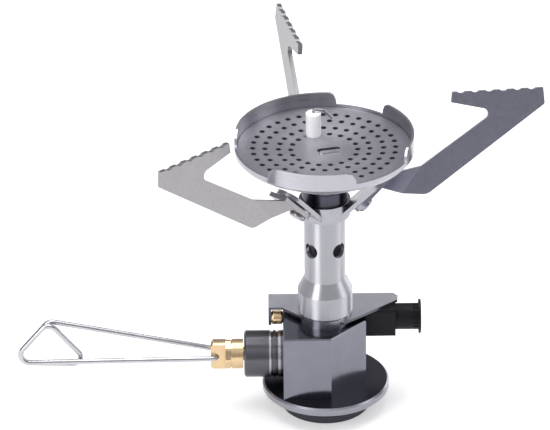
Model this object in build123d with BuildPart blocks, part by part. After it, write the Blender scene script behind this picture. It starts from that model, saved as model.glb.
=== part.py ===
from build123d import *
from math import cos, sin, tan, radians
import os

# Canister stove: a folding gas burner that screws on a resealable gas canister.
# Millimetres, +Z up.  The Z axis is the axis of the burner tube and of the canister
# thread, and z = 0 is the lowest face of the connector.

# ---- driving dimensions -------------------------------------------------------------
# Connector and seat
THREAD_R, THREAD_H = 5.3, 6.0     # minor radius and height of the 7/16-28 UNEF thread
SEAL_POCKET_R = 5.5
SEAL_WIRE = 0.95
PIN_TIP = 6.2
COLLAR_R = 12.6           # ring that stands in the canister's collar
COLLAR_H = 5.4
SEAT_R = 18.0             # disc that the canister's shoulder meets
SEAT_TOP = 8.0
SEAT_EDGE = 0.5

# Valve body, seen from above: a block with one large bevel at its front right corner
BODY_LEFT, BODY_RIGHT = -12.0, 11.5
BODY_FRONT, BODY_BACK = -12.6, 11.6
BEVEL_X, BEVEL_Y = 1.5, -2.2
BACK_BEVEL = 3.0
BODY_TOP = 27.6
BOSS_R, BOSS_TOP = 4.3, 34.0

# Needle valve, on an axis that runs out to -X
VALVE_Z = 16.1
BONNET_R, BONNET_END = 6.7, -23.1
SPIGOT_R, SPIGOT_END = 5.0, -6.4
SEAL_FLOOR = -5.7         # floor of the bonnet's bore in the block
CHAMBER_R, ORIFICE_R = 3.0, 0.6
SPINDLE_R = 1.9
HUB_R, HUB_START, HUB_END = 4.3, -23.4, -32.6
HUB_FLAT = 1.8            # half the thickness between the two flats of the hub
PIVOT_X = -31.0           # cross hole that the handle's ends turn in
NEEDLE_R = 1.0

# Wire handle
WIRE_R = 0.75
WIRE_BEND = 2.6
LEG_Y = 2.75

# Burner tube
TUBE_R, TUBE_BORE = 5.8, 4.7
TUBE_BOTTOM, TUBE_TOP = 30.5, 70.6
FLARE_R, FLARE_TOP, FLARE_CYL = 7.75, 41.4, 37.4
AIR_HOLE_R, AIR_HOLE_Z = 2.25, 51.4
LOCK_R = 7.0

# Igniter
SHEET = 0.8
BRACKET_Z = 28.4
TAB_X = -16.1              # outer face of the tab at the bracket's left end
TAB_FRONT, TAB_BOTTOM = 3.2, 23.0
IGNITER_Y, IGNITER_Z, IGNITER_SIDE = 6.4, 24.1, 8.6
IGNITER_IN, IGNITER_OUT = 7.0, 20.0
BUTTON_R, BUTTON_END = 3.75, 26.6
BUTTON_TAIL = 13.6
FLANGE_R, FLANGE_T = 4.9, 0.7

# Spark electrode, behind the tube
ROD_X, ROD_Y = -2.9, 9.2
CERAMIC_R, CERAMIC_BOTTOM, CERAMIC_TOP = 2.15, 70.2, 88.3
LEAD_R = 0.55
LEAD_Z = 24.2
LEAD_PASS = (1.7, 8.1)      # where the lead runs up past the back ear

# Burner head
BOWL_R, BOWL_SHEET = 25.0, 0.7
BOWL_KNEE, BOWL_LIP, BOWL_TOP = 81.0, 82.9, 86.5
BOWL_ROOT_R, BOWL_ROOT = 6.0, 70.0
WALL_ARCS = ((-26, 47), (81, 179), (231, 290))   # raised wall, degrees from +X
WALL_RUNS = ((1.8, 1.8), (1.8, 8.0), (3.0, 3.0))   # how far each end takes to come down
PLATE_R, PLATE_RIM, PLATE_MID, PLATE_T = 24.2, 82.3, 81.3, 0.6
PLATE_FLAT_R = 7.4
HOLE_RINGS = ((19.9, 36), (16.5, 30), (12.7, 24), (9.3, 18))
FLAME_HOLE_R = 0.78
LOUVRE_X, LOUVRE_LENGTH = 1.2, 6.6     # vent pressed up in the plate's middle

# Pot supports: three folding arms on sloping rivets
HINGE_SLOPE = 43.6        # the rivets point outward and down by this much
HINGE_R, HINGE_Z = 10.4, 66.3
ARM_NAMES = ("right", "back", "left")
ARM_AZIMUTHS = (-11.8, 108.2, 228.2)
ARM_SWINGS = (-27.2, 6.5, 4.4)    # where each arm rests about its rivet
ARM_SHEET = 1.3
ARM_SIDE = 0.1            # the blade lies this far to the right of its hinge
EYE_R = 3.1
TONGUE = 11.2            # from the rivet to the tongue's far edge
FOLD_LOW, FOLD_HIGH = (21.7, 68.3), (27.1, 75.9)    # ends of the fold, as (radius, height)
BLADE_CORNER = (28.8, 67.9)
WEB_FOOT, WEB_SIDE = 5.2, 2.15     # length and offset of the web's foot on the tongue
RIVET_R, RIVET_HEAD_R = 1.25, 2.4
WASHER_T = 0.3
EAR_T = 1.2
EAR_R, EAR_LENGTH = 4.1, 11.0      # half width, and reach above and below the rivet
TEETH, TEETH_PITCH, TEETH_DEPTH = 6, 4.0, 0.55

# Running clearances
PIN_GAP = 0.06
FACE_GAP = 0.06

os.makedirs("parts", exist_ok=True)


def save(piece, name):
    """Label a finished piece and write it as its own STEP file."""
    piece.label = name
    export_step(piece, f"parts/{name}.step")


def ring_on(plane, radius, wire):
    """A round-section ring of wire radius `wire`, about the plane's normal."""
    with BuildPart() as ring:
        with BuildSketch(Plane(origin=plane.origin, x_dir=plane.x_dir, z_dir=-plane.y_dir)):
            with Locations((radius, 0)):
                Circle(wire)
        revolve(axis=Axis(plane.origin, plane.z_dir))
    return ring.part


def valve_plane(x):
    """A plane across the valve's axis at x, facing -X, away from the body."""
    return Plane(origin=(x, 0, VALVE_Z), x_dir=(0, 1, 0), z_dir=(-1, 0, 0))


def screw_plane(x):
    """A plane across the bracket screw's axis at x, facing +X, towards the body."""
    return Plane(origin=(x, 4.3, 25.4), x_dir=(0, 1, 0), z_dir=(1, 0, 0))


def igniter_plane(x):
    """A plane across the igniter's axis at x, facing +X, away from the body."""
    return Plane(origin=(x, IGNITER_Y, IGNITER_Z), x_dir=(0, 1, 0), z_dir=(1, 0, 0))


# ---- canister connector -------------------------------------------------------------
def canister_seat():
    """Seat disc with the collar under it, bored for the canister's thread."""
    with BuildPart() as seat:
        with BuildSketch():
            Circle(COLLAR_R)
        extrude(amount=COLLAR_H)
        chamfer(seat.edges().sort_by(Axis.Z)[0], length=0.25)
        with BuildSketch(Plane.XY.offset(COLLAR_H)):
            Circle(SEAT_R)
        extrude(amount=SEAT_TOP - COLLAR_H)
        rims = seat.edges().filter_by(GeomType.CIRCLE).filter_by(lambda e: e.radius > SEAT_R - 0.1)
        chamfer(rims, length=SEAT_EDGE)
        # the thread's bore, and a wider pocket over it for the seal
        Hole(THREAD_R)
        with BuildSketch(Plane.XY.offset(THREAD_H)):
            Circle(SEAL_POCKET_R)
        extrude(amount=SEAT_TOP - THREAD_H, mode=Mode.SUBTRACT)
        # shallow groove that holds the collar's grip ring
        with BuildSketch(Plane.XY.offset(2.2)):
            Circle(COLLAR_R + 1)
            Circle(COLLAR_R - 0.5, mode=Mode.SUBTRACT)
        extrude(amount=1.4, mode=Mode.SUBTRACT)
    save(seat.part, "canister_seat")


def canister_seal():
    """O-ring at the thread's blind end, which the canister's valve presses on."""
    save(ring_on(Plane.XY.offset(SEAT_TOP - SEAL_WIRE), SEAL_POCKET_R - SEAL_WIRE, SEAL_WIRE),
         "canister_seal")


def pin_depressor():
    """Hollow pin that opens the canister's valve, with a flange under the filter."""
    with BuildPart() as pin:
        with BuildSketch(Plane.XY.offset(PIN_TIP)):
            Circle(1.2)
        extrude(amount=9.6 - PIN_TIP)
        with BuildSketch(Plane.XY.offset(8.6)):
            Circle(2.4)
        extrude(amount=1.0)
        with BuildSketch(Plane.XY.offset(PIN_TIP)):
            Circle(0.5)
        extrude(amount=9.6 - PIN_TIP, mode=Mode.SUBTRACT)
        chamfer(pin.edges().sort_by(Axis.Z)[-1], length=0.2)
    save(pin.part, "pin_depressor")


def inlet_filter():
    """Sintered disc that keeps grit out of the valve."""
    with BuildPart() as disc:
        with BuildSketch(Plane.XY.offset(9.6)):
            Circle(2.3)
        extrude(amount=1.0)
    save(disc.part, "inlet_filter")


# ---- valve body ---------------------------------------------------------------------
def body_outline():
    """The block seen from above."""
    return [
        (BODY_LEFT, BODY_FRONT),
        (BEVEL_X, BODY_FRONT),
        (BODY_RIGHT, BEVEL_Y),
        (BODY_RIGHT, BODY_BACK),
        (BODY_LEFT + BACK_BEVEL, BODY_BACK),
        (BODY_LEFT, BODY_BACK - BACK_BEVEL),
    ]


def valve_body():
    half = IGNITER_SIDE / 2 + 0.05
    with BuildPart() as body:
        with BuildSketch(Plane.XY.offset(SEAT_TOP)):
            Polygon(*body_outline(), align=None)
        extrude(amount=BODY_TOP - SEAT_TOP)
        chamfer(body.faces().sort_by(Axis.Z)[-1].edges(), length=0.35)
        # boss that the jet and the lock ring sit on
        with BuildSketch(Plane.XY.offset(BODY_TOP)):
            Circle(BOSS_R)
        extrude(amount=BOSS_TOP - BODY_TOP)
        # pocket under the block for the filter and the pin's flange
        with BuildSketch(Plane.XY.offset(SEAT_TOP)):
            Circle(2.45)
        extrude(amount=2.65, mode=Mode.SUBTRACT)
        # gas way, drilled aslant from the filter up into the needle's chamber
        with BuildSketch(Plane(origin=(0.3, 0, 10.2), x_dir=(0, 1, 0), z_dir=(-0.74, 0, 0.67))):
            Circle(0.7)
        extrude(amount=6.4, mode=Mode.SUBTRACT)
        # valve bore: bonnet thread, needle chamber, then the seat's orifice
        with BuildSketch(valve_plane(BODY_LEFT)):
            Circle(SPIGOT_R)
        extrude(amount=SEAL_FLOOR - BODY_LEFT, dir=(1, 0, 0), mode=Mode.SUBTRACT)
        with BuildSketch(valve_plane(SEAL_FLOOR - 0.1)):
            Circle(CHAMBER_R)
        extrude(amount=2.5, dir=(1, 0, 0), mode=Mode.SUBTRACT)
        with BuildSketch(valve_plane(SEAL_FLOOR + 2.3)):
            Circle(ORIFICE_R)
        extrude(amount=3.4, dir=(1, 0, 0), mode=Mode.SUBTRACT)
        # gas way up the boss to the jet, which screws into its top
        with BuildSketch(Plane.XY.offset(VALVE_Z - 1.1)):
            Circle(1.1)
        extrude(amount=BOSS_TOP, mode=Mode.SUBTRACT)
        with BuildSketch(Plane.XY.offset(BOSS_TOP - 4.2)):
            Circle(2.2)
        extrude(amount=5, mode=Mode.SUBTRACT)
        # open pocket for the igniter, and the lead's slot beside it
        with BuildSketch(Plane.XY.offset(IGNITER_Z - half)):
            with Locations((IGNITER_IN - 0.1, IGNITER_Y)):
                Rectangle(BODY_RIGHT, 2 * half, align=(Align.MIN, Align.CENTER))
        extrude(amount=BODY_TOP, mode=Mode.SUBTRACT)
        with BuildSketch(Plane.XY.offset(LEAD_Z - 1.1)):
            with Locations((ROD_X - 1.1, ROD_Y)):
                Rectangle(IGNITER_IN - ROD_X + 1.2, 2.2, align=(Align.MIN, Align.CENTER))
        extrude(amount=BODY_TOP, mode=Mode.SUBTRACT)
        # tapped hole for the bracket's screw
        with BuildSketch(screw_plane(BODY_LEFT)):
            Circle(0.92)
        extrude(amount=3.2, mode=Mode.SUBTRACT)
    save(body.part, "valve_body")


# ---- needle valve -------------------------------------------------------------------
def valve_bonnet():
    with BuildPart() as bonnet:
        with BuildSketch(valve_plane(SPIGOT_END)):
            Circle(SPIGOT_R)
        extrude(amount=SPIGOT_END - BODY_LEFT)
        with BuildSketch(valve_plane(BODY_LEFT)):
            Circle(BONNET_R)
        extrude(amount=BODY_LEFT - BONNET_END)
        chamfer(bonnet.faces().sort_by(Axis.X)[0].edges(), length=0.5)
        # two turned grooves round the barrel
        for groove_x in (-13.5, -14.9):
            with BuildSketch(valve_plane(groove_x)):
                Circle(BONNET_R + 1)
                Circle(BONNET_R - 0.35, mode=Mode.SUBTRACT)
            extrude(amount=0.6, mode=Mode.SUBTRACT)
        # bore for the spindle, with one recess for its two O-rings
        with BuildSketch(valve_plane(SPIGOT_END)):
            Circle(SPINDLE_R + PIN_GAP)
        extrude(amount=SPIGOT_END - BONNET_END, mode=Mode.SUBTRACT)
        with BuildSketch(valve_plane(-12.0)):
            Circle(SPINDLE_R + 1.05)
        extrude(amount=4.2, mode=Mode.SUBTRACT)
    save(bonnet.part, "valve_bonnet")


def bonnet_seal():
    """O-ring between the bonnet's spigot and the floor of its bore."""
    middle = (SPIGOT_END + SEAL_FLOOR) / 2
    save(ring_on(valve_plane(middle), 4.2, (SEAL_FLOOR - SPIGOT_END) / 2), "bonnet_seal")


def valve_spindle():
    """Brass spindle and hub, turned from one bar, bored for the needle."""
    with BuildPart() as spindle:
        with BuildSketch(valve_plane(-7.0)):
            Circle(SPINDLE_R)
        extrude(amount=-7.0 - HUB_START)
        with BuildSketch(valve_plane(HUB_START)):
            Circle(HUB_R)
        extrude(amount=HUB_START - HUB_END)
        chamfer(spindle.faces().sort_by(Axis.X)[0].edges(), length=0.6)
        # fine groove between the round shoulder and the wrench facets
        with BuildSketch(valve_plane(-26.6)):
            Circle(HUB_R + 1)
            Circle(HUB_R - 0.4, mode=Mode.SUBTRACT)
        extrude(amount=0.35, mode=Mode.SUBTRACT)
        with BuildSketch(valve_plane(-26.95)):
            Circle(HUB_R + 1)
            RegularPolygon(HUB_R - 0.2, 8, major_radius=False, mode=Mode.SUBTRACT)
        extrude(amount=1.45, mode=Mode.SUBTRACT)
        # two flats at the outer end, where the handle's legs lie
        for side in (-1, 1):
            with BuildSketch(valve_plane(-28.4)):
                with Locations((side * (HUB_FLAT + HUB_R), 0)):
                    Rectangle(2 * HUB_R, 4 * HUB_R)
            extrude(amount=10, mode=Mode.SUBTRACT)
        # cross hole for the handle's ends
        with BuildSketch(Plane(origin=(PIVOT_X, -HUB_R, VALVE_Z), x_dir=(1, 0, 0), z_dir=(0, 1, 0))):
            Circle(WIRE_R + PIN_GAP)
        extrude(amount=2 * HUB_R, mode=Mode.SUBTRACT)
        # bore for the needle
        with BuildSketch(valve_plane(-7.0)):
            Circle(NEEDLE_R + PIN_GAP)
        extrude(amount=8.0, mode=Mode.SUBTRACT)
    save(spindle.part, "valve_spindle")


def spindle_orings():
    """Two O-rings in the bonnet's recess, round the spindle."""
    ring_a = ring_on(valve_plane(-13.1), SPINDLE_R + 0.53, 0.5)
    ring_b = ring_on(valve_plane(-15.1), SPINDLE_R + 0.53, 0.5)
    save(Compound([ring_a, ring_b]), "spindle_orings")


def valve_needle():
    """Steel needle in the spindle's bore; its cone closes the orifice."""
    with BuildPart() as needle:
        with BuildSketch(valve_plane(-4.6)):
            Circle(NEEDLE_R)
        extrude(amount=8.2)
        with BuildSketch(valve_plane(-4.6)):
            Circle(NEEDLE_R)
        with BuildSketch(valve_plane(-2.6)):
            Circle(0.3)
        loft()
    save(needle.part, "valve_needle")


def wire_handle():
    """One wire: a leg, one and a half turns of a triangle, and a leg back."""
    pass_gap = 0.9
    apex_x, left_x, right_x = -78.5, -89.7, -66.8
    route = [
        (PIVOT_X, 0.3, VALVE_Z),
        (PIVOT_X, LEG_Y, VALVE_Z),
        (apex_x, pass_gap, 26.9),
        (left_x, pass_gap, 13.5),
        (right_x, 0.35, 12.9),
        (apex_x, -pass_gap, 27.7),
        (left_x, -pass_gap, 14.4),
        (PIVOT_X, -LEG_Y, VALVE_Z),
        (PIVOT_X, -0.3, VALVE_Z),
    ]
    bends = [1.3] + [WIRE_BEND] * 5 + [1.3]
    with BuildPart() as handle:
        with BuildLine() as path:
            FilletPolyline(*route, radius=bends)
        with BuildSketch(Plane(origin=route[0], x_dir=(1, 0, 0), z_dir=(0, 1, 0))):
            Circle(WIRE_R)
        sweep(path=path.wire(), transition=Transition.RIGHT)
    length = path.wire().length
    print("handle wire length", round(length, 1), "volume ratio",
          round(handle.part.volume / (length * 3.14159265 * WIRE_R ** 2), 4))
    save(handle.part, "wire_handle")


# ---- gas jet and burner tube --------------------------------------------------------
def gas_jet():
    """Brass jet: hexagon head, threaded shank and a drilled nozzle."""
    with BuildPart() as jet:
        with BuildSketch(Plane.XY.offset(BOSS_TOP - 3.0)):
            Circle(2.2)
        extrude(amount=3.0)
        with BuildSketch(Plane.XY.offset(BOSS_TOP)):
            RegularPolygon(3.0, 6)
        extrude(amount=2.6)
        with BuildSketch(Plane.XY.offset(BOSS_TOP + 2.6)):
            Circle(1.8)
        extrude(amount=2.4, taper=12)
        with BuildSketch(Plane.XY.offset(BOSS_TOP - 3.0)):
            Circle(1.0)
        extrude(amount=6.6, mode=Mode.SUBTRACT)
        with BuildSketch(Plane.XY.offset(BOSS_TOP + 3.0)):
            Circle(0.2)
        extrude(amount=3.0, mode=Mode.SUBTRACT)
    save(jet.part, "gas_jet")


def jet_filter():
    with BuildPart() as disc:
        with BuildSketch(Plane.XY.offset(BOSS_TOP - 4.1)):
            Circle(2.1)
        extrude(amount=1.0)
    save(disc.part, "jet_filter")


def tube_lock_ring():
    """Ring under the tube: its foot holds the bracket up to the igniter's height."""
    with BuildPart() as ring:
        with BuildSketch(Plane.XY.offset(BODY_TOP)):
            Circle(LOCK_R + 0.2)
        extrude(amount=BRACKET_Z - BODY_TOP)
        with BuildSketch(Plane.XY.offset(BRACKET_Z)):
            Circle(LOCK_R)
        extrude(amount=TUBE_BOTTOM - BRACKET_Z)
        with BuildSketch(Plane.XY.offset(BODY_TOP)):
            Circle(BOSS_R)
        extrude(amount=TUBE_BOTTOM, mode=Mode.SUBTRACT)
        top_edge = ring.edges().filter_by(lambda e: e.length > 40).sort_by(Axis.Z)[-1]
        chamfer(top_edge, length=0.5)
    save(ring.part, "tube_lock_ring")


def burner_tube():
    """Mixing tube with a flared foot and four air holes."""
    with BuildPart() as tube:
        with BuildSketch(Plane.XZ):
            with BuildLine():
                Polyline(
                    (TUBE_BORE, TUBE_BOTTOM + 6),
                    (BOSS_R, TUBE_BOTTOM + 4),
                    (BOSS_R, TUBE_BOTTOM),
                    (FLARE_R - 0.4, TUBE_BOTTOM),
                    (FLARE_R, TUBE_BOTTOM + 0.4),
                    (FLARE_R, FLARE_CYL),
                    (TUBE_R, FLARE_TOP),
                    (TUBE_R, TUBE_TOP),
                    (TUBE_BORE, TUBE_TOP),
                    (TUBE_BORE, TUBE_BOTTOM + 6),
                )
            make_face()
        revolve(axis=Axis.Z)
        for azimuth in (45, 135):
            across = Plane(origin=(0, 0, AIR_HOLE_Z), x_dir=(0, 0, 1),
                           z_dir=(cos(radians(azimuth)), sin(radians(azimuth)), 0))
            with BuildSketch(across):
                Circle(AIR_HOLE_R)
            extrude(amount=FLARE_R, both=True, mode=Mode.SUBTRACT)
    save(tube.part, "burner_tube")


# ---- igniter ------------------------------------------------------------------------
def igniter_bracket():
    """Sheet over the block and the igniter, with a tab bent down at its left end."""
    outline = [
        (TAB_X, TAB_FRONT),
        (-12.2, TAB_FRONT),
        (-4.3, -4.7),
        (5.2, -5.8),
        (20.6, 7.0),
        (20.8, 9.4),
        (19.4, 11.0),
        (TAB_X, 11.0),
    ]
    with BuildPart() as bracket:
        with BuildSketch(Plane.XY.offset(BRACKET_Z)):
            Polygon(*outline, align=None)
            Circle(LOCK_R + 0.02, mode=Mode.SUBTRACT)
            with Locations((ROD_X, ROD_Y)):
                Circle(LEAD_R + 0.35, mode=Mode.SUBTRACT)
        extrude(amount=SHEET)
        with BuildSketch(Plane.XY.offset(TAB_BOTTOM)):
            with Locations((TAB_X, TAB_FRONT)):
                Rectangle(SHEET, 11.0 - TAB_FRONT, align=(Align.MIN, Align.MIN))
        extrude(amount=BRACKET_Z - TAB_BOTTOM)
        fillet(bracket.edges().filter_by(Axis.X).group_by(Axis.Z)[0], radius=1.1)
        with BuildSketch(screw_plane(TAB_X - 1)):
            Circle(0.92)
        extrude(amount=3, mode=Mode.SUBTRACT)
    save(bracket.part, "igniter_bracket")


def bracket_screw():
    """Brass stand-off screw between the tab and the block."""
    with BuildPart() as screw:
        with BuildSketch(screw_plane(TAB_X + 0.1)):
            Circle(0.9)
        extrude(amount=BODY_LEFT + 3.0 - TAB_X - 0.1)
        with BuildSketch(screw_plane(TAB_X + SHEET)):
            Circle(2.0)
        extrude(amount=BODY_LEFT - TAB_X - SHEET)
        fillet(screw.edges().filter_by(lambda e: e.length > 11.5), radius=0.7)
    save(screw.part, "bracket_screw")


def igniter_housing():
    """Square plastic case, open at its outer end for the button."""
    with BuildPart() as case:
        with BuildSketch(igniter_plane(IGNITER_IN)):
            RectangleRounded(IGNITER_SIDE, IGNITER_SIDE, 0.8)
        extrude(amount=IGNITER_OUT - IGNITER_IN)
        with BuildSketch(igniter_plane(IGNITER_IN + 1.0)):
            Circle(BUTTON_R + PIN_GAP)
        extrude(amount=IGNITER_OUT, mode=Mode.SUBTRACT)
    save(case.part, "igniter_housing")


def igniter_button():
    """Plunger with ridges round its grip, a flange at its end and a bore for the spring."""
    with BuildPart() as button:
        with BuildSketch(igniter_plane(BUTTON_TAIL)):
            Circle(BUTTON_R)
        extrude(amount=BUTTON_END - BUTTON_TAIL)
        with BuildSketch(igniter_plane(BUTTON_END)):
            Circle(FLANGE_R)
        extrude(amount=FLANGE_T)
        chamfer(button.faces().sort_by(Axis.X)[-1].edges(), length=0.25)
        # the grip's fluting, outside the case at full stroke
        with BuildSketch(igniter_plane(IGNITER_OUT + 5.0)):
            with PolarLocations(BUTTON_R + 0.15, 16):
                Circle(0.45)
        extrude(amount=BUTTON_END - IGNITER_OUT - 5.0, mode=Mode.SUBTRACT)
        with BuildSketch(igniter_plane(BUTTON_TAIL)):
            Circle(2.9)
        extrude(amount=8.6, mode=Mode.SUBTRACT)
    save(button.part, "igniter_button")


def igniter_spring():
    """Return spring from the case's floor to the bottom of the button's bore."""
    turns = 6
    start = IGNITER_IN + 1.35
    height = BUTTON_TAIL + 8.6 - 0.35 - start
    with BuildPart() as spring:
        with BuildLine() as coil:
            Helix(pitch=height / turns, height=height, radius=2.45,
                  center=(start, IGNITER_Y, IGNITER_Z), direction=(1, 0, 0))
        with BuildSketch(Plane(origin=coil.line @ 0, z_dir=coil.line % 0)):
            Circle(0.25)
        sweep(path=coil.line, is_frenet=True)
    save(spring.part, "igniter_spring")


def piezo_element():
    """Crystal with a brass cap, standing on the case's floor inside the spring."""
    with BuildPart() as crystal:
        with BuildSketch(igniter_plane(IGNITER_IN + 1.0)):
            Circle(1.6)
        extrude(amount=6.2)
        with BuildSketch(igniter_plane(IGNITER_IN + 7.2)):
            Circle(1.1)
        extrude(amount=1.2)
        chamfer(crystal.faces().sort_by(Axis.X)[-1].edges(), length=0.25)
    save(crystal.part, "piezo_element")


def ignition_lead():
    """Insulated lead from the case, through the block's slot and up behind the tube."""
    route = [
        (IGNITER_IN, ROD_Y, LEAD_Z),
        (ROD_X, ROD_Y, LEAD_Z),
        (ROD_X, ROD_Y, 44.0),
        (*LEAD_PASS, 52.0),
        (*LEAD_PASS, 68.9),
        (ROD_X, ROD_Y, 68.9),
        (ROD_X, ROD_Y, CERAMIC_BOTTOM),
    ]
    bends = [4.4, 9.0, 9.0, 1.6, 1.1]
    print("ignition lead bend radii", bends)
    with BuildPart() as lead:
        with BuildLine() as path:
            FilletPolyline(*route, radius=bends)
        with BuildSketch(Plane(origin=route[0], x_dir=(0, 1, 0), z_dir=(-1, 0, 0))):
            Circle(LEAD_R)
        sweep(path=path.wire())
    save(lead.part, "ignition_lead")


def electrode_ceramic():
    """Glazed insulator through the bowl, with a socket for the lead's wire."""
    with BuildPart() as rod:
        with BuildSketch(Plane(origin=(ROD_X, ROD_Y, CERAMIC_BOTTOM))):
            Circle(CERAMIC_R)
        extrude(amount=CERAMIC_TOP - CERAMIC_BOTTOM)
        chamfer(rod.edges().filter_by(GeomType.CIRCLE), length=0.3)
        with BuildSketch(Plane(origin=(ROD_X, ROD_Y, CERAMIC_TOP - 3.0))):
            Circle(0.4)
        extrude(amount=3.0, mode=Mode.SUBTRACT)
    save(rod.part, "electrode_ceramic")


def electrode_wire():
    """Spark wire that bends over to the flame plate."""
    route = [
        (ROD_X, ROD_Y, CERAMIC_TOP - 3.0),
        (ROD_X, ROD_Y, CERAMIC_TOP + 0.9),
        (ROD_X + 2.9, ROD_Y, CERAMIC_TOP + 0.6),
        (ROD_X + 5.2, ROD_Y, CERAMIC_TOP - 1.9),
    ]
    with BuildPart() as wire:
        with BuildLine() as path:
            FilletPolyline(*route, radius=0.6)
        with BuildSketch(Plane(origin=route[0])):
            Circle(0.38)
        sweep(path=path.wire())
    save(wire.part, "electrode_wire")


# ---- burner head --------------------------------------------------------------------
def burner_collar():
    """Dark sleeve under the bowl, pressed on the tube."""
    with BuildPart() as collar:
        with BuildSketch(Plane.XY.offset(66.6)):
            Circle(TUBE_R + 0.6)
            Circle(TUBE_R, mode=Mode.SUBTRACT)
        extrude(amount=BOWL_ROOT - 66.6)
    save(collar.part, "burner_collar")


def sector(start, end, radius):
    """A pie-shaped outline from the axis, for cutting the wall by azimuth."""
    middle = (start + end) / 2
    reach = radius / cos(radians((end - start) / 4))
    return [
        (0, 0),
        (radius * cos(radians(start)), radius * sin(radians(start))),
        (reach * cos(radians((start + middle) / 2)), reach * sin(radians((start + middle) / 2))),
        (reach * cos(radians((end + middle) / 2)), reach * sin(radians((end + middle) / 2))),
        (radius * cos(radians(end)), radius * sin(radians(end))),
    ]


def wall_end(azimuth, side, run):
    """The piece cut off one end of the wall, over a length `run`; `side` is the gap's side."""
    out = Vector(cos(radians(azimuth)), sin(radians(azimuth)), 0)
    along = Vector(-out.Y, out.X, 0) * side
    height = BOWL_TOP - BOWL_LIP
    corners = [
        (-run, height),
        (-0.45 * run, 0.86 * height),
        (-0.12 * run, 0.45 * height),
        (0, 0),
        (1, 0),
        (1, height + 1),
        (-run, height + 1),
    ]
    start = out * (BOWL_R - 3) + Vector(0, 0, BOWL_LIP)
    with BuildPart() as cutter:
        with BuildSketch(Plane(origin=start, x_dir=along, z_dir=out)):
            Polygon(*[(x, side * z) for x, z in corners], align=None)
        extrude(amount=6)
    return cutter.part


def burner_bowl():
    """Spun sheet bowl: a shallow cone, a knee and a wall that is high in three arcs."""
    slope = (BOWL_KNEE - BOWL_ROOT) / (BOWL_R - BOWL_ROOT_R)
    rise = BOWL_SHEET * (1 + slope ** 2) ** 0.5
    inside = BOWL_R - BOWL_SHEET
    with BuildPart() as bowl:
        with BuildSketch(Plane.XZ):
            with BuildLine():
                Polyline(
                    (TUBE_R, BOWL_ROOT),
                    (BOWL_ROOT_R, BOWL_ROOT),
                    (BOWL_R - 0.8, BOWL_KNEE - 0.8 * slope),
                    (BOWL_R, BOWL_KNEE + 0.5),
                    (BOWL_R, BOWL_TOP),
                    (inside, BOWL_TOP),
                    (inside, BOWL_KNEE + 0.5 * slope + 0.4),
                    (BOWL_ROOT_R, BOWL_ROOT + rise),
                    (TUBE_R, BOWL_ROOT + rise),
                    (TUBE_R, BOWL_ROOT),
                )
            make_face()
        revolve(axis=Axis.Z)
        for k in range(len(WALL_ARCS)):
            gap_start = WALL_ARCS[k][1]
            gap_end = WALL_ARCS[(k + 1) % len(WALL_ARCS)][0]
            if gap_end < gap_start:
                gap_end += 360
            with BuildSketch(Plane.XY.offset(BOWL_LIP)):
                Polygon(*sector(gap_start, gap_end, BOWL_R + 3), align=None)
            extrude(amount=BOWL_TOP, mode=Mode.SUBTRACT)
            add(wall_end(gap_start, 1, WALL_RUNS[k][1]), mode=Mode.SUBTRACT)
            next_run = WALL_RUNS[(k + 1) % len(WALL_ARCS)][0]
            add(wall_end(gap_end, -1, next_run), mode=Mode.SUBTRACT)
        # the electrode's hole
        with BuildSketch(Plane(origin=(ROD_X, ROD_Y, BOWL_ROOT - 5))):
            Circle(CERAMIC_R + 0.05)
        extrude(amount=12, mode=Mode.SUBTRACT)
    save(bowl.part, "burner_bowl")


def flame_plate():
    """Dished sheet with four rings of flame holes and a pressed-up vent in its middle."""
    with BuildPart() as plate:
        with BuildSketch(Plane.XZ):
            with BuildLine():
                Polyline(
                    (0, PLATE_MID),
                    (PLATE_FLAT_R, PLATE_MID),
                    (PLATE_R, PLATE_RIM),
                    (PLATE_R, PLATE_RIM - PLATE_T),
                    (PLATE_FLAT_R, PLATE_MID - PLATE_T),
                    (0, PLATE_MID - PLATE_T),
                    (0, PLATE_MID),
                )
            make_face()
        revolve(axis=Axis.Z)
        for ring_radius, count in HOLE_RINGS:
            with BuildSketch(Plane.XY.offset(PLATE_MID - 2)):
                with PolarLocations(ring_radius, count):
                    Circle(FLAME_HOLE_R)
            extrude(amount=5, mode=Mode.SUBTRACT)
        with BuildSketch(Plane(origin=(ROD_X, ROD_Y, PLATE_MID - 2))):
            Circle(CERAMIC_R + 0.05)
        extrude(amount=5, mode=Mode.SUBTRACT)
        # vent: a slit with a raised lip in front of it
        with BuildSketch(Plane(origin=(LOUVRE_X, 0.2, PLATE_MID - 2))):
            SlotOverall(LOUVRE_LENGTH, 2.0, rotation=14)
        extrude(amount=5, mode=Mode.SUBTRACT)
        with BuildSketch(Plane(origin=(LOUVRE_X + 0.4, -1.5, PLATE_MID - PLATE_T / 2))):
            SlotOverall(LOUVRE_LENGTH, 2.0, rotation=14)
        extrude(amount=0.7, taper=25)
    save(plate.part, "flame_plate")


# ---- pot supports -------------------------------------------------------------------
# Each support is drawn on the +X side and turned to its place about the tube's axis.
# Its rivet runs along `OUT`, outward and down, and `UP` is the way its sheet climbs.
OUT = Vector(cos(radians(HINGE_SLOPE)), 0, -sin(radians(HINGE_SLOPE)))
UP = Vector(sin(radians(HINGE_SLOPE)), 0, cos(radians(HINGE_SLOPE)))
PIVOT = Vector(HINGE_R, 0, HINGE_Z)
HINGE = Axis(PIVOT, OUT)


def hinge_plane(depth):
    """A plane across the rivet, `depth` outward of the tongue's inner face."""
    return Plane(origin=PIVOT + OUT * depth, x_dir=UP, z_dir=OUT)


def blade_outline():
    """Corners of the arm's blade as (radius, height), from the fold round to the pan bar."""
    corners = [
        FOLD_LOW,
        BLADE_CORNER,
        (61.9, 93.0),
        (61.4, 97.6),
        (35.7, 96.6),
        (35.4, 93.7),
        (48.2, 91.2),
        FOLD_HIGH,
    ]
    return corners


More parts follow.
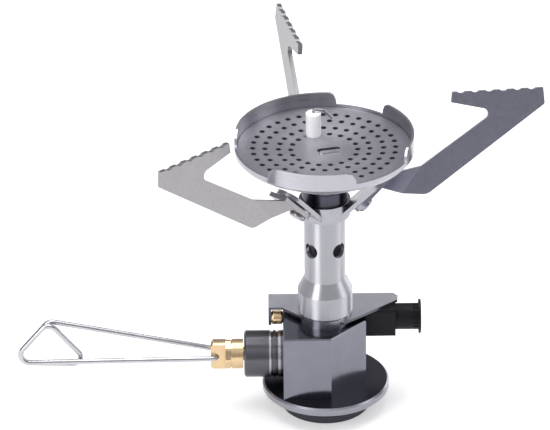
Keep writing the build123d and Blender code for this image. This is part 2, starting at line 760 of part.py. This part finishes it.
def support_arm(name, azimuth, swing):
    """Sheet arm: toothed bar, slanting strut, fold, and a tongue with the rivet's eye."""
    with BuildPart() as arm:
        with BuildSketch(Plane.XZ.offset(ARM_SIDE)) as blade:
            Polygon(*blade_outline(), align=None)
            fillet(blade.vertices().group_by(Axis.X)[-1], radius=0.8)
        extrude(amount=ARM_SHEET)
        # rounded inner corner between strut and bar
        inner = arm.edges().filter_by(Axis.Y).sort_by(lambda e: abs(e.center().X - 48.2))[0]
        fillet(inner, radius=1.6)
        # round-bottomed notches in the pan bar
        with BuildSketch(Plane.XZ.offset(ARM_SIDE)):
            for k in range(TEETH):
                x = 38.2 + k * TEETH_PITCH
                z = 96.7 + (x - 35.7) * (97.6 - 96.6) / (61.4 - 35.7)
                with Locations((x, z + 1.0)):
                    Circle(1.0 + TEETH_DEPTH)
        extrude(amount=ARM_SHEET, mode=Mode.SUBTRACT)
        corner = arm.edges().filter_by(Axis.Y).sort_by(lambda e: abs(e.center().X - BLADE_CORNER[0]))[0]
        fillet(corner, radius=3.5)
        # web from the fold back to the tongue, slanting away from the blade's plane
        low = Vector(FOLD_LOW[0], -ARM_SIDE - ARM_SHEET / 2, FOLD_LOW[1])
        high = Vector(FOLD_HIGH[0], -ARM_SIDE - ARM_SHEET / 2, FOLD_HIGH[1])
        along = (high - low).normalized()
        inward = Vector(-along.Z, 0, along.X)
        foot = PIVOT + UP * (TONGUE - WEB_FOOT / 2) + OUT * ARM_SHEET + Vector(0, WEB_SIDE, 0)
        with BuildSketch(Plane(origin=(low + high) * 0.5, x_dir=along, z_dir=inward)):
            Rectangle((high - low).length, ARM_SHEET)
        with BuildSketch(Plane(origin=foot, x_dir=UP, z_dir=-OUT)):
            Rectangle(WEB_FOOT, ARM_SHEET)
        loft()
        # tongue across the rivet, with a round eye
        with BuildSketch(hinge_plane(0)):
            Circle(EYE_R)
            Rectangle(TONGUE, 2 * EYE_R, align=(Align.MIN, Align.CENTER))
        extrude(amount=ARM_SHEET)
        with BuildSketch(hinge_plane(-1)):
            Circle(RIVET_R + PIN_GAP)
        extrude(amount=4, mode=Mode.SUBTRACT)
    placed = arm.part.rotate(HINGE, swing).rotate(Axis.Z, azimuth)
    save(placed, f"support_arm_{name}")


def around(make_one):
    """The same solid at each support's azimuth, as separate solids in one node."""
    return Compound([make_one.rotate(Axis.Z, azimuth) for azimuth in ARM_AZIMUTHS])


def arm_hub():
    """Ring on the tube with three ears that slope up and out, one to an arm."""
    inner = -(WASHER_T + FACE_GAP + EAR_T)
    with BuildPart() as ear:
        with BuildSketch(hinge_plane(inner)):
            SlotOverall(2 * EAR_LENGTH, 2 * EAR_R)
        extrude(amount=EAR_T)
        with BuildSketch(hinge_plane(inner)):
            Circle(RIVET_R)
        extrude(amount=EAR_T, mode=Mode.SUBTRACT)
        with BuildSketch(Plane.XY.offset(55)):
            Circle(TUBE_R + 0.7)
        extrude(amount=20, mode=Mode.SUBTRACT)
    with BuildPart() as hub:
        with BuildSketch(Plane.XY.offset(61.4)):
            Circle(TUBE_R + 1.4)
            Circle(TUBE_R, mode=Mode.SUBTRACT)
        extrude(amount=4.8)
        for azimuth in ARM_AZIMUTHS:
            add(ear.part.rotate(Axis.Z, azimuth))
        # notch in the back ear for the lead
        with BuildSketch(Plane.XY.offset(60)):
            with Locations(LEAD_PASS):
                Circle(LEAD_R + 0.35)
        extrude(amount=12, mode=Mode.SUBTRACT)
    save(hub.part, "arm_hub")


def arm_rivets():
    """Three rivets: rounded head outside the tongue, flush end in the ear."""
    inner = -(WASHER_T + FACE_GAP + EAR_T)
    with BuildPart() as rivet:
        with BuildSketch(hinge_plane(inner)):
            Circle(RIVET_R)
        extrude(amount=ARM_SHEET + FACE_GAP - inner)
        with BuildSketch(hinge_plane(ARM_SHEET + FACE_GAP)):
            Circle(RIVET_HEAD_R)
        extrude(amount=1.0)
        fillet(rivet.edges().sort_by(HINGE)[-1], radius=0.6)
    save(around(rivet.part), "arm_rivets")


def arm_washers():
    """Three thin washers between the ears and the tongues."""
    with BuildPart() as washer:
        with BuildSketch(hinge_plane(-(WASHER_T + FACE_GAP))):
            Circle(EYE_R - 0.3)
            Circle(RIVET_R, mode=Mode.SUBTRACT)
        extrude(amount=WASHER_T)
    save(around(washer.part), "arm_washers")


canister_seat()
canister_seal()
pin_depressor()
inlet_filter()
valve_body()
valve_bonnet()
bonnet_seal()
valve_spindle()
spindle_orings()
valve_needle()
wire_handle()
gas_jet()
jet_filter()
tube_lock_ring()
burner_tube()
igniter_bracket()
bracket_screw()
igniter_housing()
igniter_button()
igniter_spring()
piezo_element()
ignition_lead()
electrode_ceramic()
electrode_wire()
burner_collar()
burner_bowl()
flame_plate()
arm_hub()
arm_rivets()
arm_washers()
for arm_name, arm_azimuth, arm_swing in zip(ARM_NAMES, ARM_AZIMUTHS, ARM_SWINGS):
    support_arm(arm_name, arm_azimuth, arm_swing)
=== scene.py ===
import math

import bpy
from mathutils import Matrix, Vector

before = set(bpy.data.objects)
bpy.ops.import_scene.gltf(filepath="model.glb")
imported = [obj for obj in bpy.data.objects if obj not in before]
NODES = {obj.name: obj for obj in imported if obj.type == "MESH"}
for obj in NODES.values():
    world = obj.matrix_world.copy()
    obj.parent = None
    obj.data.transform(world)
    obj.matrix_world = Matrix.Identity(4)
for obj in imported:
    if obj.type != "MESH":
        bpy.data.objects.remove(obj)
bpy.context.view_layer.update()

MM = 0.001


# ---- camera, floor and light ----------------------------------------------------------
ELEVATION = math.radians(28.58)     # how far the camera looks down
ROLL = math.radians(0.67)
DISTANCE = 1.3
TARGET = Vector((-0.0139, 0.0, 0.06084))
SENSOR = 36.0
LENS = 303.97                       # focal length in mm, for a frame as wide as the sensor

# The studio's brightness by height: 0.5 is the horizon and 1 is straight up
SKY = (
    (0.50, (0.30, 0.30, 0.32)),
    (0.72, (0.34, 0.34, 0.37)),
    (0.95, (0.80, 0.80, 0.82)),
)
FLOOR_HALF = 3.0
FLOOR_GLOW = 0.40                   # light of its own, so that the floor reads white

LIGHTS_AIM = Vector((0.0, 0.0, 0.05))
LIGHTS = (                          # name, place, width, height, watts
    ("key", (-0.74, -0.82, 0.50), 0.5, 1.1, 7.5),
    ("side", (0.95, -0.10, 0.42), 0.45, 0.9, 2.2),
    ("rim", (0.70, 0.80, 0.45), 0.5, 0.9, 3.0),
    ("top", (-0.1, 0.1, 1.6), 1.1, 1.1, 15),
)


def add_camera():
    """A long lens in front of the stove, looking down on it, with the photo's slight roll."""
    data = bpy.data.cameras.new("camera")
    data.sensor_width = SENSOR
    data.lens = LENS
    data.clip_end = 20
    camera = bpy.data.objects.new("camera", data)
    bpy.context.collection.objects.link(camera)
    back = Vector((0, -math.cos(ELEVATION), math.sin(ELEVATION)))
    place = Matrix.Translation(TARGET + back * DISTANCE)
    look = back.to_track_quat("Z", "Y").to_matrix().to_4x4()
    camera.matrix_world = place @ look @ Matrix.Rotation(-ROLL, 4, "Z")
    bpy.context.scene.camera = camera


def add_light(name, place, width, height, watts):
    data = bpy.data.lights.new(name, "AREA")
    data.energy = watts
    data.shape = "RECTANGLE"
    data.size = width
    data.size_y = height
    light = bpy.data.objects.new(name, data)
    bpy.context.collection.objects.link(light)
    light.location = place
    light.rotation_euler = (LIGHTS_AIM - Vector(place)).to_track_quat("-Z", "Y").to_euler()


def add_world():
    """A grey studio, paler overhead."""
    world = bpy.data.worlds.new("studio")
    bpy.context.scene.world = world
    world.use_nodes = True
    tree = world.node_tree
    tree.nodes.clear()
    coordinates = tree.nodes.new("ShaderNodeTexCoord")
    split = tree.nodes.new("ShaderNodeSeparateXYZ")
    height = tree.nodes.new("ShaderNodeMath")       # from -1..1 to 0..1
    height.operation = "MULTIPLY_ADD"
    height.inputs[1].default_value = 0.5
    height.inputs[2].default_value = 0.5
    ramp = tree.nodes.new("ShaderNodeValToRGB")
    stops = ramp.color_ramp.elements
    stops.new(0.5)
    for stop, (position, color) in zip(stops, SKY):
        stop.position = position
        stop.color = (*color, 1)
    background = tree.nodes.new("ShaderNodeBackground")
    out = tree.nodes.new("ShaderNodeOutputWorld")
    tree.links.new(coordinates.outputs["Generated"], split.inputs[0])
    tree.links.new(split.outputs["Z"], height.inputs[0])
    tree.links.new(height.outputs[0], ramp.inputs[0])
    tree.links.new(ramp.outputs[0], background.inputs["Color"])
    tree.links.new(background.outputs[0], out.inputs["Surface"])


def add_floor():
    half = FLOOR_HALF
    mesh = bpy.data.meshes.new("floor")
    mesh.from_pydata([(-half, -half, 0), (half, -half, 0), (half, half, 0), (-half, half, 0)],
                     [], [(0, 1, 2, 3)])
    floor = bpy.data.objects.new("floor", mesh)
    bpy.context.collection.objects.link(floor)
    paint = bpy.data.materials.new("floor_paint")
    paint.use_nodes = True
    shader = paint.node_tree.nodes["Principled BSDF"]
    shader.inputs["Base Color"].default_value = (0.72, 0.72, 0.725, 1)
    shader.inputs["Emission Color"].default_value = (1, 1, 1, 1)
    shader.inputs["Emission Strength"].default_value = FLOOR_GLOW
    shader.inputs["Roughness"].default_value = 0.8
    shader.inputs["Specular IOR Level"].default_value = 0.1
    mesh.materials.append(paint)


# ---- materials ------------------------------------------------------------------------
# Places on the nodes where a finish, a painted shade or a painted highlight changes, from the
# CAD dimensions
RIM_START = 17.55 * MM              # the seat disc is bright outside this radius
BOWL_SLOPE = 0.579                  # rise of the bowl's cone for each metre of radius
BOWL_MID_SHEET = 66.9 * MM          # middle of the cone's sheet, carried on to the axis
PLATE_EDGE = 24.2 * MM
PLATE_UNDERSIDE = 81.7 * MM
BURNT_FROM = 12 * MM                # the flame's marks on the plate set in between these radii
BURNT_TO = 24 * MM
BONNET_PAINTED_HIGHLIGHTS = (                    # painted highlights on the bonnet, as bright bands: middle along X, half width
    (-13.1 * MM, 0.35 * MM),
    (-15.7 * MM, 0.3 * MM),
)

NOISE_LOW = 0.30                    # nearly all of a noise texture lies between these two
NOISE_HIGH = 0.70
EVEN_GRAIN = (900, 900, 900)        # grains in a metre, the same along X, Y and Z


class Nodes:
    """One material's node tree. Its lengths are in metres, in the stove's shared frame."""

    def __init__(self, name):
        self.material = bpy.data.materials.new(name)
        self.material.use_nodes = True
        self.tree = self.material.node_tree
        self.shader = self.tree.nodes["Principled BSDF"]
        self.position = self.new("ShaderNodeTexCoord").outputs["Object"]

    def new(self, kind):
        return self.tree.nodes.new(kind)

    def link(self, source, target):
        self.tree.links.new(source, target)

    def feed(self, sockets, values):
        """Give each socket its number, or a link from another node."""
        for socket, value in zip(sockets, values):
            if isinstance(value, (int, float)):
                socket.default_value = value
            else:
                self.link(value, socket)

    def set(self, **settings):
        """Numbers for the shader's inputs, with _ for a space in the input's name."""
        for name, value in settings.items():
            self.shader.inputs[name.replace("_", " ")].default_value = value

    def math(self, operation, *values):
        node = self.new("ShaderNodeMath")
        node.operation = operation
        self.feed(node.inputs, values)
        return node.outputs[0]

    def blend(self, first, second, share):
        """The sum of two values, `share` of the first and the rest of the second."""
        return self.math("ADD", self.math("MULTIPLY", first, share),
                         self.math("MULTIPLY", second, 1 - share))

    def axes(self, vector=None):
        node = self.new("ShaderNodeSeparateXYZ")
        self.link(vector or self.position, node.inputs[0])
        return node.outputs

    def radius(self):
        """Distance from the Z axis."""
        x, y, _ = self.axes()
        return self.math("SQRT", self.math("ADD", self.math("MULTIPLY", x, x),
                                           self.math("MULTIPLY", y, y)))

    def vector(self, x, y, z):
        node = self.new("ShaderNodeCombineXYZ")
        self.feed(node.inputs, (x, y, z))
        return node.outputs[0]

    def stretched(self, scale):
        node = self.new("ShaderNodeMapping")
        node.inputs["Scale"].default_value = scale
        self.link(self.position, node.inputs["Vector"])
        return node.outputs[0]

    def noise(self, vector, scale, detail, rough):
        node = self.new("ShaderNodeTexNoise")
        node.inputs["Scale"].default_value = scale
        node.inputs["Detail"].default_value = detail
        node.inputs["Roughness"].default_value = rough
        self.link(vector, node.inputs["Vector"])
        return node.outputs["Fac"]

    def span(self, value, low, high, out_low, out_high):
        """`value` from low..high brought to out_low..out_high, and held at those ends."""
        node = self.new("ShaderNodeMapRange")
        self.feed(node.inputs, (value, low, high, out_low, out_high))
        return node.outputs[0]

    def base_color(self, value, low, low_color, high, high_color):
        """Base colour that runs between two colours as `value` goes from low to high."""
        node = self.new("ShaderNodeValToRGB")
        first, last = node.color_ramp.elements
        first.position = low
        first.color = (*low_color, 1)
        last.position = high
        last.color = (*high_color, 1)
        self.link(value, node.inputs[0])
        self.link(node.outputs[0], self.shader.inputs["Base Color"])

    def roughness(self, value, middle, spread):
        """Roughness that follows `value` within `spread` of `middle`."""
        self.link(self.span(value, NOISE_LOW, NOISE_HIGH, middle - spread, middle + spread),
                  self.shader.inputs["Roughness"])

    def tint(self, amount, color):
        """Lay `color` over the base colour where `amount` is 1."""
        base = self.shader.inputs["Base Color"]
        node = self.new("ShaderNodeMix")
        node.data_type = "RGBA"
        under, over = node.inputs[6:8]              # the mix node's two colour inputs
        self.link(base.links[0].from_socket, under)
        over.default_value = (*color, 1)
        self.link(amount, node.inputs[0])
        self.link(node.outputs[2], base)            # its colour output

    def bump(self, height, strength, distance):
        node = self.new("ShaderNodeBump")
        node.inputs["Strength"].default_value = strength
        node.inputs["Distance"].default_value = distance
        self.link(height, node.inputs["Height"])
        self.link(node.outputs[0], self.shader.inputs["Normal"])


def shade(color, factor):
    return tuple(min(1.0, channel * factor) for channel in color)


def metal(name, color, roughness, grain, grain_depth=2e-6, spread=0.10, patch=0.06):
    """Bare or anodised metal with fine grain, soft patches and scuffs.

    `grain` is the number of grains in a metre along X, Y and Z. `spread` is how far the
    colour wanders and `patch` how far the roughness does.
    """
    n = Nodes(name)
    lines = n.noise(n.stretched(grain), 1.0, 6.0, 0.65)
    cloud = n.noise(n.position, 160.0, 3.0, 0.5)
    scuff = n.noise(n.position, 900.0, 5.0, 0.7)
    n.base_color(n.blend(lines, cloud, 0.6), NOISE_LOW, shade(color, 1 - spread),
                 NOISE_HIGH, shade(color, 1 + spread))
    n.roughness(n.blend(lines, scuff, 0.5), roughness, patch)
    n.set(Metallic=1.0)
    n.bump(lines, 0.5, grain_depth)
    return n


def turned(name, color, roughness, pitch, axis="Z", spread=0.10, streak=0.8):
    """Metal turned or spun on the axis: fine rings that draw highlights out along it.

    `pitch` is the rings' spacing in mm and `streak` how strongly the highlights are drawn out.
    """
    n = Nodes(name)
    rings_per_metre = 1 / (pitch * MM)
    along = n.math("MULTIPLY", n.axes()[axis], rings_per_metre)
    if axis == "Z":
        rings = n.vector(n.math("MULTIPLY", n.radius(), rings_per_metre), along, 0.0)
    else:
        rings = n.vector(along, 0.0, 0.0)
    lines = n.noise(rings, 1.0, 3.0, 0.6)
    cloud = n.noise(n.position, 140.0, 3.0, 0.5)
    tone = n.blend(lines, cloud, 0.55)
    n.base_color(tone, NOISE_LOW, shade(color, 1 - spread), NOISE_HIGH, shade(color, 1 + spread))
    n.roughness(tone, roughness, 0.05)
    n.set(Metallic=1.0, Anisotropic=streak, Anisotropic_Rotation=0.25)
    tangent = n.new("ShaderNodeTangent")
    tangent.direction_type = "RADIAL"
    tangent.axis = axis
    n.link(tangent.outputs[0], n.shader.inputs["Tangent"])
    n.bump(lines, 0.5, 4e-6)
    return n


def plastic(name, color, roughness, specular=0.5):
    """Moulded plastic or rubber with a fine grain and faint clouds."""
    n = Nodes(name)
    grain = n.noise(n.position, 2500.0, 3.0, 0.6)
    cloud = n.noise(n.position, 200.0, 2.0, 0.5)
    n.base_color(cloud, 0.35, shade(color, 0.88), 0.65, shade(color, 1.12))
    n.roughness(cloud, roughness, 0.06)
    n.set(Specular_IOR_Level=specular)
    n.bump(grain, 0.4, 6e-6)
    return n


def mottled(n):
    """Small darker flecks over a metal, as tumbling leaves them on sheet."""
    flecks = n.noise(n.position, 1700.0, 5.0, 0.75)
    n.tint(n.span(flecks, 0.50, 0.68, 0.0, 0.22), (0.12, 0.12, 0.15))
    return n


def arm_material(name, color):
    """Tumbled sheet of the pot supports."""
    return mottled(metal(name, color, 0.33, (700, 700, 700), spread=0.06))


def seat_material():
    """Black anodised disc whose rim is turned bright."""
    n = turned("seat_black", (0.065, 0.065, 0.078), 0.30, pitch=0.3, streak=0.5)
    n.tint(n.math("GREATER_THAN", n.radius(), RIM_START), (0.29, 0.29, 0.325))
    return n


def sheet_material():
    """Brushed bracket sheet, with painted shade on its upright faces: the sheared edges and the
    bent-down tab.
    """
    n = metal("sheet_steel", (0.62, 0.62, 0.66), 0.36, (3000, 400, 3000))
    normal = n.new("ShaderNodeNewGeometry").outputs["True Normal"]
    rise = n.math("ABSOLUTE", n.axes(normal)["Z"])
    # Painted shade: faces tilted more than 60 degrees from level are darkened.
    n.tint(n.math("LESS_THAN", rise, 0.5), (0.13, 0.13, 0.15))
    return n


def bonnet_material():
    """Dark barrel with two painted highlights, bright bands beside its grooves."""
    n = turned("bonnet_grey", (0.115, 0.113, 0.125), 0.34, pitch=0.35, axis="X")
    for middle, half_width in BONNET_PAINTED_HIGHLIGHTS:
        # Painted highlights: a band of brighter colour at each of the two places along X.
        n.tint(n.math("COMPARE", n.axes()["X"], middle, half_width), (0.42, 0.42, 0.45))
    return n


def bowl_material():
    """Bright spun steel, with painted shade inside under the flame plate."""
    n = turned("bowl_steel", (0.44, 0.432, 0.465), 0.30, pitch=0.4, spread=0.08, streak=0.6)
    z = n.axes()["Z"]
    radius = n.radius()
    above_cone = n.math("SUBTRACT", z, n.math("MULTIPLY", radius, BOWL_SLOPE))
    inner_side = n.math("GREATER_THAN", above_cone, BOWL_MID_SHEET)
    under_plate = n.math("MULTIPLY", n.math("LESS_THAN", z, PLATE_UNDERSIDE),
                         n.math("LESS_THAN", radius, PLATE_EDGE))
    # Painted shade: the bowl's inner side below the flame plate is made near black, so that the
    # plate's holes read dark.
    n.tint(n.math("MULTIPLY", inner_side, under_plate), (0.02, 0.019, 0.02))
    return n


def plate_material():
    """Pierced plate: satin, faintly lilac, duller where the flame has marked it."""
    n = turned("plate_steel", (0.46, 0.45, 0.49), 0.42, pitch=0.5, streak=0.3)
    wander = n.math("MULTIPLY", n.noise(n.position, 350.0, 3.0, 0.6), 6 * MM)
    reach = n.math("ADD", n.radius(), wander)
    n.tint(n.span(reach, BURNT_FROM, BURNT_TO, 0.0, 0.35), (0.30, 0.29, 0.33))
    return mottled(n)


def ceramic_material():
    """White ceramic under a thin clear glaze."""
    n = Nodes("ceramic_white")
    cloud = n.noise(n.position, 300.0, 3.0, 0.5)
    n.base_color(cloud, NOISE_LOW, (0.95, 0.945, 0.945), NOISE_HIGH, (0.99, 0.985, 0.985))
    n.set(Roughness=0.3, Coat_Weight=0.5, Coat_Roughness=0.12)
    n.bump(n.noise(n.position, 1500.0, 2.0, 0.5), 0.2, 5e-6)
    return n


def make_materials():
    return {
        "seat": seat_material(),
        "body": metal("body_anodised", (0.195, 0.20, 0.235), 0.17, (700, 700, 9000), patch=0.04),
        "bonnet": bonnet_material(),
        "brass": turned("brass", (0.70, 0.52, 0.31), 0.28, pitch=0.3, axis="X", streak=0.6),
        "brass_z": turned("brass_jet", (0.70, 0.50, 0.22), 0.28, pitch=0.3),
        "wire": metal("wire_steel", (0.50, 0.50, 0.52), 0.24, (300, 3000, 3000)),
        "tube": turned("tube_steel", (0.47, 0.47, 0.50), 0.38, pitch=0.22, spread=0.06,
                       streak=0.95),
        "ring": turned("ring_steel", (0.26, 0.26, 0.29), 0.26, pitch=0.22),
        "rivet": metal("rivet_steel", (0.30, 0.29, 0.31), 0.25, EVEN_GRAIN),
        "sheet": sheet_material(),
        "hub": metal("hub_steel", (0.36, 0.36, 0.39), 0.30, EVEN_GRAIN),
        "arm": arm_material("arm_steel", (0.325, 0.315, 0.325)),
        # A bluer copy of the arm sheet for the right support alone: a painted cool tint of the
        # shade that falls on that support.
        "arm_right_shade_tint": arm_material("arm_steel_right_shade_tint", (0.32, 0.32, 0.385)),
        "bowl": bowl_material(),
        "plate": plate_material(),
        "collar": turned("collar_dark", (0.085, 0.085, 0.11), 0.38, pitch=0.3),
        "black": plastic("igniter_black", (0.006, 0.006, 0.008), 0.45, specular=0.18),
        "rubber": plastic("seal_rubber", (0.02, 0.02, 0.02), 0.6),
        "lead": plastic("lead_insulation", (0.70, 0.68, 0.63), 0.55),
        "ceramic": ceramic_material(),
        "spring": metal("spring_steel", (0.55, 0.55, 0.57), 0.25, EVEN_GRAIN),
        "sinter": metal("bronze_filter", (0.40, 0.29, 0.17), 0.55, (2500, 2500, 2500),
                        grain_depth=2e-5),
        "piezo": plastic("piezo_crystal", (0.5, 0.46, 0.38), 0.35),
    }


FINISHES = {       # the material of each node
    "canister_seat": "seat", "canister_seal": "rubber", "pin_depressor": "brass_z",
    "inlet_filter": "sinter", "valve_body": "body", "valve_bonnet": "bonnet",
    "bonnet_seal": "rubber", "valve_spindle": "brass", "spindle_orings": "rubber",
    "valve_needle": "spring", "wire_handle": "wire", "gas_jet": "brass_z",
    "jet_filter": "sinter", "tube_lock_ring": "ring", "burner_tube": "tube",
    "igniter_bracket": "sheet", "bracket_screw": "brass", "igniter_housing": "black",
    "igniter_button": "black", "igniter_spring": "spring", "piezo_element": "piezo",
    "ignition_lead": "lead", "electrode_ceramic": "ceramic", "electrode_wire": "rivet",
    "burner_collar": "collar", "burner_bowl": "bowl", "flame_plate": "plate",
    "arm_hub": "hub", "arm_rivets": "rivet", "arm_washers": "spring",
    # the right support takes the copy with the painted cool shade tint
    "support_arm_right": "arm_right_shade_tint", "support_arm_back": "arm", "support_arm_left": "arm",
}


# ---- edges ----------------------------------------------------------------------------
EDGES = {          # width in mm of the small round on each node's sharp edges
    "valve_body": 0.22, "igniter_housing": 0.15, "canister_seat": 0.12,
    "arm_hub": 0.18, "valve_spindle": 0.10, "tube_lock_ring": 0.12,
    "support_arm_right": 0.30, "support_arm_back": 0.30, "support_arm_left": 0.30,
}
SHARP = 35         # degrees between two faces from which their edge is rounded
SHARP_ON_ARM = 22  # less on the supports, so that their fold of 28 degrees is rounded too


def round_edges():
    """Bevel modifiers that break the CAD nodes' sharp edges, so that they catch the light."""
    for name, width in EDGES.items():
        angle = SHARP_ON_ARM if name.startswith("support_arm") else SHARP
        bevel = NODES[name].modifiers.new("edge", "BEVEL")
        bevel.width = width * MM
        bevel.segments = 3
        bevel.limit_method = "ANGLE"
        bevel.angle_limit = math.radians(angle)
        bevel.use_clamp_overlap = True
        bevel.harden_normals = True


def dress_cad():
    materials = make_materials()
    for name, finish in FINISHES.items():
        for slot in NODES[name].material_slots:
            slot.material = materials[finish].material


bpy.context.scene.view_settings.view_transform = "Standard"
add_camera()
add_world()
add_floor()
for light in LIGHTS:
    add_light(*light)
round_edges()
dress_cad()
